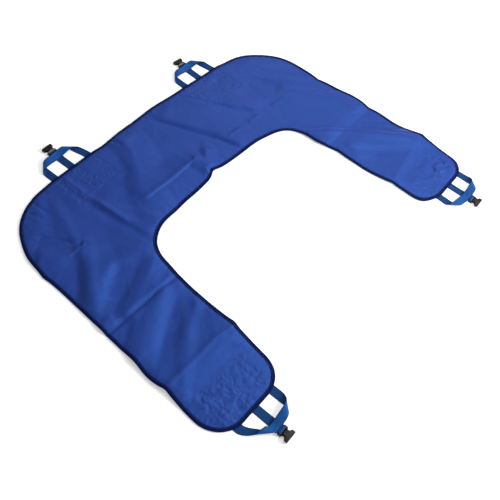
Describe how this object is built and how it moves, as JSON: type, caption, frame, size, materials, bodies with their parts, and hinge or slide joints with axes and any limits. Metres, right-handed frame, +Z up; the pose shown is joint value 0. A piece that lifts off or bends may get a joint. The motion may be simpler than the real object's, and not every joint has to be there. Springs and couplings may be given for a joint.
{
  "type": "transfer sling",
  "caption": "U-shaped padded transfer sling with a back band, two legs, and webbing handles that each carry the socket half of a side-release buckle.",
  "frame": {"origin": "centre of the bounding box, at its base", "axes": "+Z up out of the face, +Y towards the back edge, -Y towards the ends of the legs, +X to the right as seen from above"},
  "size_m": [1.208, 1.085, 0.0116],
  "materials": {
    "face_fabric": "satin coated nylon",
    "backing_fabric": "matt coated nylon",
    "binding": "woven tape",
    "webbing": "ribbed webbing",
    "thread": "bonded thread",
    "interlining": "thin foam sheet",
    "buckle_plastic": "fine moulded texture"
  },
  "bodies": {
    "back": {"back_face_fabric": "face_fabric", "back_foam": "interlining", "back_backing_fabric": "backing_fabric", "back_edge_binding": "binding", "back_left_anchor_patch": "backing_fabric", "back_left_strap_tails": "webbing", "back_left_tail_stitching": "thread", "back_right_anchor_patch": "backing_fabric", "back_right_strap_tails": "webbing", "back_right_tail_stitching": "thread"},
    "left_leg": {"left_leg_face_fabric": "face_fabric", "left_leg_foam": "interlining", "left_leg_backing_fabric": "backing_fabric", "left_leg_edge_binding": "binding", "leg_left_anchor_patch": "backing_fabric", "leg_left_strap_tails": "webbing", "leg_left_tail_stitching": "thread"},
    "right_leg": {"right_leg_face_fabric": "face_fabric", "right_leg_foam": "interlining", "right_leg_backing_fabric": "backing_fabric", "right_leg_edge_binding": "binding", "leg_right_anchor_patch": "backing_fabric", "leg_right_strap_tails": "webbing", "leg_right_tail_stitching": "thread"},
    "back_left_handle": {"back_left_handle_loop": "webbing", "back_left_centre_strap": "webbing", "back_left_bartacks": "thread"},
    "back_left_buckle": {"back_left_buckle_socket": "buckle_plastic"},
    "back_right_handle": {"back_right_handle_loop": "webbing", "back_right_centre_strap": "webbing", "back_right_bartacks": "thread"},
    "back_right_buckle": {"back_right_buckle_socket": "buckle_plastic"},
    "leg_left_handle": {"leg_left_handle_loop": "webbing", "leg_left_centre_strap": "webbing", "leg_left_bartacks": "thread"},
    "leg_left_buckle": {"leg_left_buckle_socket": "buckle_plastic"},
    "leg_right_handle": {"leg_right_handle_loop": "webbing", "leg_right_centre_strap": "webbing", "leg_right_bartacks": "thread"},
    "leg_right_buckle": {"leg_right_buckle_socket": "buckle_plastic"}
  },
  "joints": [
    {"name": "left_leg_fold", "type": "hinge", "parent": "back", "child": "left_leg", "pos_m": [-0.455, -0.03453, 0.0035], "axis": [-1, 0, 0], "range_deg": [0, 120]},
    {"name": "right_leg_fold", "type": "hinge", "parent": "back", "child": "right_leg", "pos_m": [0.455, -0.03453, 0.0035], "axis": [-1, 0, 0], "range_deg": [0, 120]},
    {"name": "back_left_handle_fold", "type": "hinge", "parent": "back", "child": "back_left_handle", "pos_m": [-0.27805, 0.43345, 0.0037], "axis": [0.9993, 0.0362, 0], "range_deg": [0, 150]},
    {"name": "back_left_buckle_swing", "type": "hinge", "parent": "back_left_handle", "child": "back_left_buckle", "pos_m": [-0.28082, 0.5099, 0.0039], "axis": [0.9993, 0.0362, 0], "range_deg": [0, 80]},
    {"name": "back_right_handle_fold", "type": "hinge", "parent": "back", "child": "back_right_handle", "pos_m": [0.27805, 0.43345, 0.0037], "axis": [0.9993, -0.0362, 0], "range_deg": [0, 150]},
    {"name": "back_right_buckle_swing", "type": "hinge", "parent": "back_right_handle", "child": "back_right_buckle", "pos_m": [0.28082, 0.5099, 0.0039], "axis": [0.9993, -0.0362, 0], "range_deg": [0, 80]},
    {"name": "leg_left_handle_fold", "type": "hinge", "parent": "left_leg", "child": "leg_left_handle", "pos_m": [-0.484, -0.43403, 0.0037], "axis": [-1, 0, 0], "range_deg": [0, 150]},
    {"name": "leg_left_buckle_swing", "type": "hinge", "parent": "leg_left_handle", "child": "leg_left_buckle", "pos_m": [-0.484, -0.51053, 0.0039], "axis": [-1, 0, 0], "range_deg": [0, 80]},
    {"name": "leg_right_handle_fold", "type": "hinge", "parent": "right_leg", "child": "leg_right_handle", "pos_m": [0.484, -0.43403, 0.0037], "axis": [-1, 0, 0], "range_deg": [0, 150]},
    {"name": "leg_right_buckle_swing", "type": "hinge", "parent": "leg_right_handle", "child": "leg_right_buckle", "pos_m": [0.484, -0.51053, 0.0039], "axis": [-1, 0, 0], "range_deg": [0, 80]}
  ]
}
